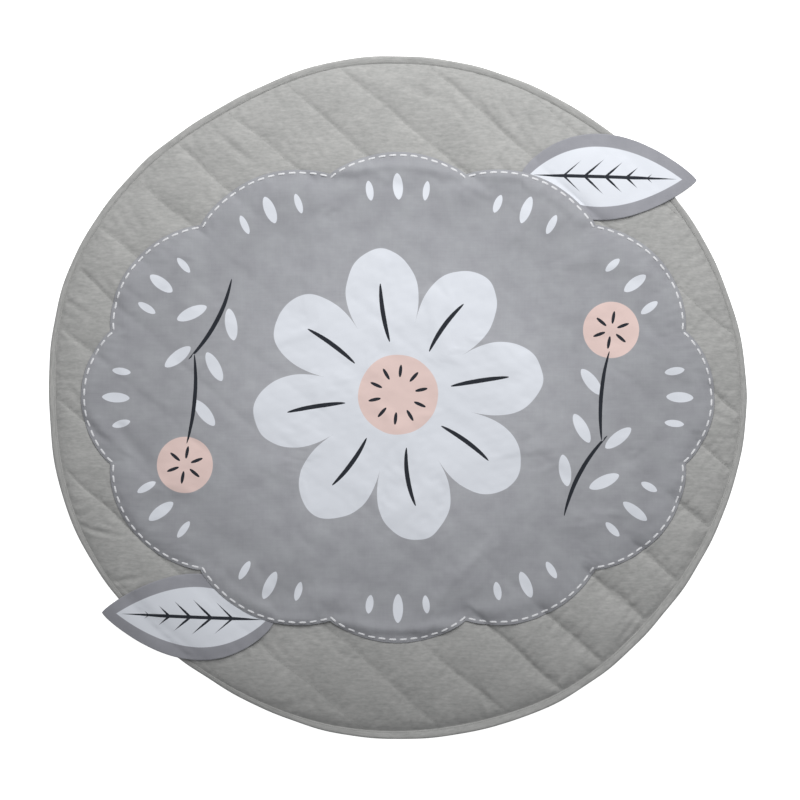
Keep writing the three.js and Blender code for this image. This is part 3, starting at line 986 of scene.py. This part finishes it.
def wovenGround(add, place, tones):
    # Plain woven cotton, softly uneven from thicker threads both ways. Gives its colour and its relief.
    length, width = cotton["slub"]
    slubs = longNoise(add, place, (length, width, 1000), {"Roughness": 0.6})
    warps = longNoise(add, place, (width, length, 1000), {"Roughness": 0.6}, (5, 2, 0))
    cloudScale = 1 / (cotton["cloud"] * mm)
    cloud = add("TexNoise", {"Scale": cloudScale, "Detail": 4, "Roughness": 0.6, "Vector": place})
    threads = add("Mix", {"Factor": 0.4, 2: slubs, 3: warps})
    colour = add("ValToRGB", [add("Mix", {"Factor": 0.65, 2: threads, 3: cloud})])
    for element, position, hexColor in zip(colour.color_ramp.elements, (0.38, 0.62), tones):
        element.position, element.color = position, linear(hexColor)
    weave = crossedThreads(add, place, cotton["threadPitch"], "MAXIMUM", {"Distortion": 0.6})
    return colour, add("Mix", {"Factor": 0.2, 2: weave, 3: threads})


def inkOver(add, under, factor, ink):
    # Lays an ink over what is printed already
    return add("Mix", {"data_type": "RGBA", 0: factor, 6: under, 7: linear(cotton[ink])}).outputs[2]


def finishCotton(add, colour, relief):
    # Woven cotton is matt, with a faint nap
    nap = add("Bump", {"Strength": 0.24, "Distance": 0.25 * mm, "Height": relief})
    finishMaterial(add, {"Roughness": 0.88, "Specular IOR Level": 0.3, "Sheen Weight": 0.12,
                         "Sheen Roughness": 0.5, "Base Color": colour, "Normal": nap})


def printedPanelCotton(name):
    # Pigment print on woven cotton: crisp matt inks that let the weave show
    material, add, place = newMaterial(name, "flat")
    colour, relief = wovenGround(add, place, cotton["panel"])
    # Painted light and shade: the cotton's colour is paler towards the panel's middle and darker towards its
    # edge
    ovalScale = (1 / panel["halfWidth"] / mm, 1 / panel["halfDepth"] / mm, 0)
    oval = add("VectorMath LENGTH", [add("Mapping", {"Scale": ovalScale, "Vector": place})]).outputs["Value"]
    paintedShading = add("MapRange", {"interpolation_type": "SMOOTHSTEP", 0: oval, 1: 0.3, 2: 0.9,
                            3: cotton["paintedLightMiddle"], 4: cotton["paintedShadeEdge"]})
    colour = add("Mix", {"data_type": "RGBA", "blend_type": "MULTIPLY", 0: 1.0, 6: colour, 7: paintedShading})
    colour = colour.outputs[2]

    # The daisy, whose edge is slightly uneven, as if cut by hand
    fromHeart = add("VectorMath SUBTRACT", [place, (daisy["x"] * mm, daisy["y"] * mm, 0)])
    wobble = add("MapRange", [add("TexNoise", {"Scale": 1 / (70 * mm), "Detail": 1, "Vector": place}),
                              0.3, 0.7, 0.985, 1.015])
    away = add("VectorMath LENGTH", [fromHeart]).outputs["Value"]
    reach = add("Math MULTIPLY", [away, wobble])
    right, up, _ = add("SeparateXYZ", [fromHeart]).outputs
    half = daisy["petals"] / 2
    notch = daisy["notch"] * daisy["radius"] * mm
    petal = add("Math ARCTAN2", [up, right])
    for operation, values in (("MULTIPLY_ADD", [half, -half * np.radians(daisy["turn"])]), ("COSINE", []),
                              ("ABSOLUTE", []), ("POWER", [daisy["petalRoundness"]]),
                              ("MULTIPLY_ADD", [daisy["radius"] * mm - notch, notch])):
        petal = add("Math " + operation, [petal, *values])
    bleed = cotton["inkEdge"] * mm
    petals, heart = (add("MapRange", [add("Math SUBTRACT", [bound, reach]), -bleed, bleed])
                     for bound in (petal, daisy["heart"] * mm))
    inks = [(petals, "white"), (motifInk(add, "fleck", 0.6), "white"), (heart, "blush"),
            (motifInk(add, "dot", 0.5, 0.01), "blush"), (motifInk(add, "stroke", 0.5), "charcoal")]
    for factor, ink in inks:
        colour = inkOver(add, colour, factor, ink)
    finishCotton(add, colour, relief)
    return material


def printedLeafCotton(name):
    # The same cotton, with a white inner leaf, a charcoal midrib and thin side veins
    material, add, place = newMaterial(name, "leafPlace")
    colour, relief = wovenGround(add, place, cotton["leaf"])
    ahead, across, width = add("SeparateXYZ", [place]).outputs
    off = add("Math ABSOLUTE", [across])
    room = add("Math SUBTRACT", [width, off])
    # The midrib and the side veins narrow with the white that is left beyond them, so they taper to points.
    # Each row says how much white, in mm, takes a value from its start to its end.
    half, bleed = leaf["ribHalf"] * mm, cotton["inkEdge"]
    rows = [(-bleed, bleed, 0, 1), (5, 6, 0, 1), (5, 32, 0, half), (9, 34, -1.4 * mm, half)]
    inner, within, ribWidth, veinWidth = (
        add("MapRange", [room, (leaf["border"] + low) * mm, (leaf["border"] + high) * mm, start, end])
        for low, high, start, end in rows)
    repeat = add("Math PINGPONG", [add("Math MULTIPLY_ADD", [off, -leaf["veinSlant"], ahead]),
                                   leaf["veinPitch"] / 2 * mm])
    lines = [add("MapRange", [add("Math SUBTRACT", [lineWidth, fromLine]), -0.25 * mm, 0.25 * mm])
             for lineWidth, fromLine in ((ribWidth, off), (veinWidth, repeat))]
    ink = add("Math MULTIPLY", [add("Math MAXIMUM", lines), within])
    finishCotton(add, inkOver(add, inkOver(add, colour, inner, "white"), ink, "charcoal"), relief)
    return material


print("panel and leaves")
layOutPrint()
panelMaterial = printedPanelCotton("printed plain cotton")
leafMaterial = printedLeafCotton("printed leaf cotton")
panelPoints = makePanel(panelMaterial)
for leafName in leaves:
    makeLeaf(leafName, leafMaterial)

# Sewing: each stitch is a short rounded thread whose ends go into the cloth
sewing = {
    "white": "#dcdde1",
    "grey": "#a2a3a1",
    "runningLength": 11.4,
    "runningPitch": 15.2,
    "runningWidth": 3.3,
    "runningHeight": 1.3,
    "quiltLength": 3.2,
    "quiltPitch": 4,
    "quiltWidth": 0.7,
    "quiltRun": 1100,        # length of the longest seam
    "topLength": 2.6,
    "topPitch": 3.2,
    "topInset": 12.6,        # on the binding, in from the rim
    "plyPitch": 2.4,         # mm, about twice the real twist, so that it shows
    "sides": 6,              # of a thread's section
}


def cottonThread(name, hexColor):
    # Mercerised cotton thread: two plies twisted together, with a soft gloss
    material, add, place = newMaterial(name, "thread")
    along, around, _ = add("SeparateXYZ", [place]).outputs
    ply = add("Math SINE", [add("Math MULTIPLY_ADD", [along, 2 * np.pi / (sewing["plyPitch"] * mm), around])])
    relief = add("Bump", {"Strength": 0.35, "Distance": 0.2 * mm, "Height": ply})
    # Painted shade: the thread's colour darkens in the grooves between its plies
    colour = add("Mix", {"data_type": "RGBA", "blend_type": "MULTIPLY", 0: 1.0, 6: linear(hexColor),
                         7: add("MapRange", [ply, -1, 1, 0.86, 1])})
    finishMaterial(add, {"Roughness": 0.6, "Specular IOR Level": 0.4, "Base Color": colour.outputs[2],
                         "Normal": relief})
    return material


def addStitches(name, paths, width, height, material, proud=0.35):
    # Threads along paths of places. They swell from thin ends, and arch up out of the cloth.
    (count, steps, _), sides = paths.shape, sewing["sides"]
    part = np.linspace(-1, 1, steps)[:, None]
    middles = paths + [0, 0, height] * (proud - 0.75 * part ** 4)
    ahead = np.gradient(paths, axis=1)
    aside = np.cross([0, 0, 1], ahead)
    ahead, aside = (line / np.linalg.norm(line, axis=-1, keepdims=True) for line in (ahead, aside))
    above = np.cross(ahead, aside)
    angle = (np.arange(sides) * 2 * np.pi / sides)[:, None]
    ring = width / 2 * np.cos(angle) * aside[:, :, None] + height / 2 * np.sin(angle) * above[:, :, None]
    points = middles[:, :, None] + np.sqrt(1 - 0.9 * part ** 6)[:, None] * ring
    starts = np.arange(count)[:, None, None] * steps * sides
    quads = (starts + gridQuads(steps, sides, wrap=True)).reshape(-1, 4)
    ends = starts[:, 0] + np.arange(sides)
    piece = addPiece(name, points, [quads, ends[:, ::-1], ends + (steps - 1) * sides], material)
    length = np.linalg.norm(np.diff(paths, axis=1), axis=-1).sum(1)[:, None, None]
    thread = np.stack(np.broadcast_arrays((part + 1) / 2 * length * mm, angle[:, 0], 0), -1)
    addValues(piece, "thread", thread)


def evenSteps(run, length, pitch, steps):
    # Runs of equally spaced stitches: a row for each, with its steps along it
    count = int(round(run / pitch))
    starts = (np.arange(count) + 0.5) * run / count
    return starts[:, None] + np.linspace(-0.5, 0.5, steps)[None] * length


def runningStitches():
    # White dashes just inside the panel's edge, on the settled cotton
    turns = np.linspace(0, 2 * np.pi, 4001)
    edge = np.stack(panelPlace(turns, np.ones_like(turns)), -1)
    inner = np.stack(panelPlace(turns, np.full_like(turns, 0.99)), -1)
    reach = 1 - panel["stitchInset"] / (np.hypot(*(edge - inner).T) / 0.01)
    x, y = panelPlace(turns, reach)
    run = np.concatenate([[0], np.cumsum(np.hypot(np.diff(x), np.diff(y)))])
    along = evenSteps(run[-1], sewing["runningLength"], sewing["runningPitch"], 9)
    a, b = roundToSquare(np.interp(along, run, turns), np.interp(along, run, reach))
    half = (len(panelPoints) - 1) / 2
    paths = between(panelPoints, (a + 1) * half, (b + 1) * half)
    addStitches("running_stitch", paths, sewing["runningWidth"], sewing["runningHeight"],
                cottonThread("white cotton thread", sewing["white"]))


def quiltingStitches(material):
    # Small grey stitches in the channels' seams, where the jersey shows
    slant = np.radians(quilt["slant"])
    run, width = sewing["quiltRun"], sewing["quiltWidth"]
    along = evenSteps(run, sewing["quiltLength"], sewing["quiltPitch"], 5) - run / 2
    paths = []
    for order, seam in enumerate(quilt["seams"]):
        x, y = aheadAndAside(along, seamLevel(seam, order, along), (0, 0), slant)
        rimGap = (insetFromRim(x, y) - bindingWidth(np.arctan2(y, x))).min(1)
        shown = (rimGap > 1) & (insetFromPanel(x, y).max(1) < 1)
        paths.append(np.stack([x, y, padAt(x, y)], -1)[shown])
    addStitches("quilting_stitch", np.concatenate(paths), width, width, material, 0.15)


def topStitches(material):
    # A close line of grey stitches that holds the binding down near its inner edge
    run, width = 2 * np.pi * mat["runRadius"], sewing["quiltWidth"]
    turns = evenSteps(run, sewing["topLength"], sewing["topPitch"], 5) / mat["runRadius"]
    height = np.interp(sewing["topInset"], *zip(*sorted(row for row in binding["section"] if row[1] > 5.9)))
    paths = bindingPlaces(turns.ravel(), np.array([[sewing["topInset"], height]], float))
    addStitches("binding_stitch", paths.reshape(*turns.shape, 3), width, width, material)


print("sewing")
greyThread = cottonThread("grey cotton thread", sewing["grey"])
runningStitches()
quiltingStitches(greyThread)
topStitches(greyThread)

studio = {
    "cameraPlace": (0.0029, -0.0036, 2.71),    # metres, straight above, as in the photograph
    "cameraLens": 85,
    "lightPlace": (0.18, 1.0, 1.27),           # a large soft light beyond the mat's top edge
    "lightSize": 1.4,
    "lightPower": 28,
    "lightColour": (1, 0.995, 0.98),
    "room": 0.3,
    "roomColour": (0.99, 0.995, 1.01, 1),
    "floorHalf": 60,
    "floorGlow": 0.9,
}


def addFloor(name, paperName, glow, height):
    # Seamless matt white paper
    half = studio["floorHalf"] / mm
    corners = [[-half, -half, height], [half, -half, height], [half, half, height], [-half, half, height]]
    floor = addObject(name, newMesh(name, corners, [np.array([[0, 1, 2, 3]])]))
    material, add, _ = newMaterial(paperName)
    finishMaterial(add, {"Base Color": linear("#e6e6e6"), "Roughness": 0.9,
                         "Emission Color": linear("#ffffff"), "Emission Strength": glow})
    floor.data.materials.append(material)
    return floor


def addStudio():
    # The camera sees the bright floor. A plain one just below lights the cloth, so its edge keeps its shade.
    bright = addFloor("floor", "bright paper", studio["floorGlow"], -0.1)
    bright.visible_diffuse = bright.visible_glossy = bright.visible_shadow = False
    addFloor("floor_below", "plain paper", 0, -0.6)
    light = addObject("soft_light", bpy.data.lights.new("soft_light", "AREA"))
    light.data.size = studio["lightSize"]
    light.data.energy = studio["lightPower"]
    light.data.color = studio["lightColour"]
    light.location = studio["lightPlace"]
    light.rotation_mode = "QUATERNION"
    light.rotation_quaternion = light.location.to_track_quat("Z", "Y")
    scene = bpy.context.scene
    scene.camera = addObject("camera", bpy.data.cameras.new("camera"))
    scene.camera.data.lens = studio["cameraLens"]
    scene.camera.location = studio["cameraPlace"]
    scene.view_settings.view_transform = "Standard"
    scene.world = bpy.data.worlds.new("room")
    scene.world.use_nodes = True
    room = scene.world.node_tree.nodes["Background"].inputs
    room[0].default_value, room[1].default_value = studio["roomColour"], studio["room"]


print("studio")
addStudio()
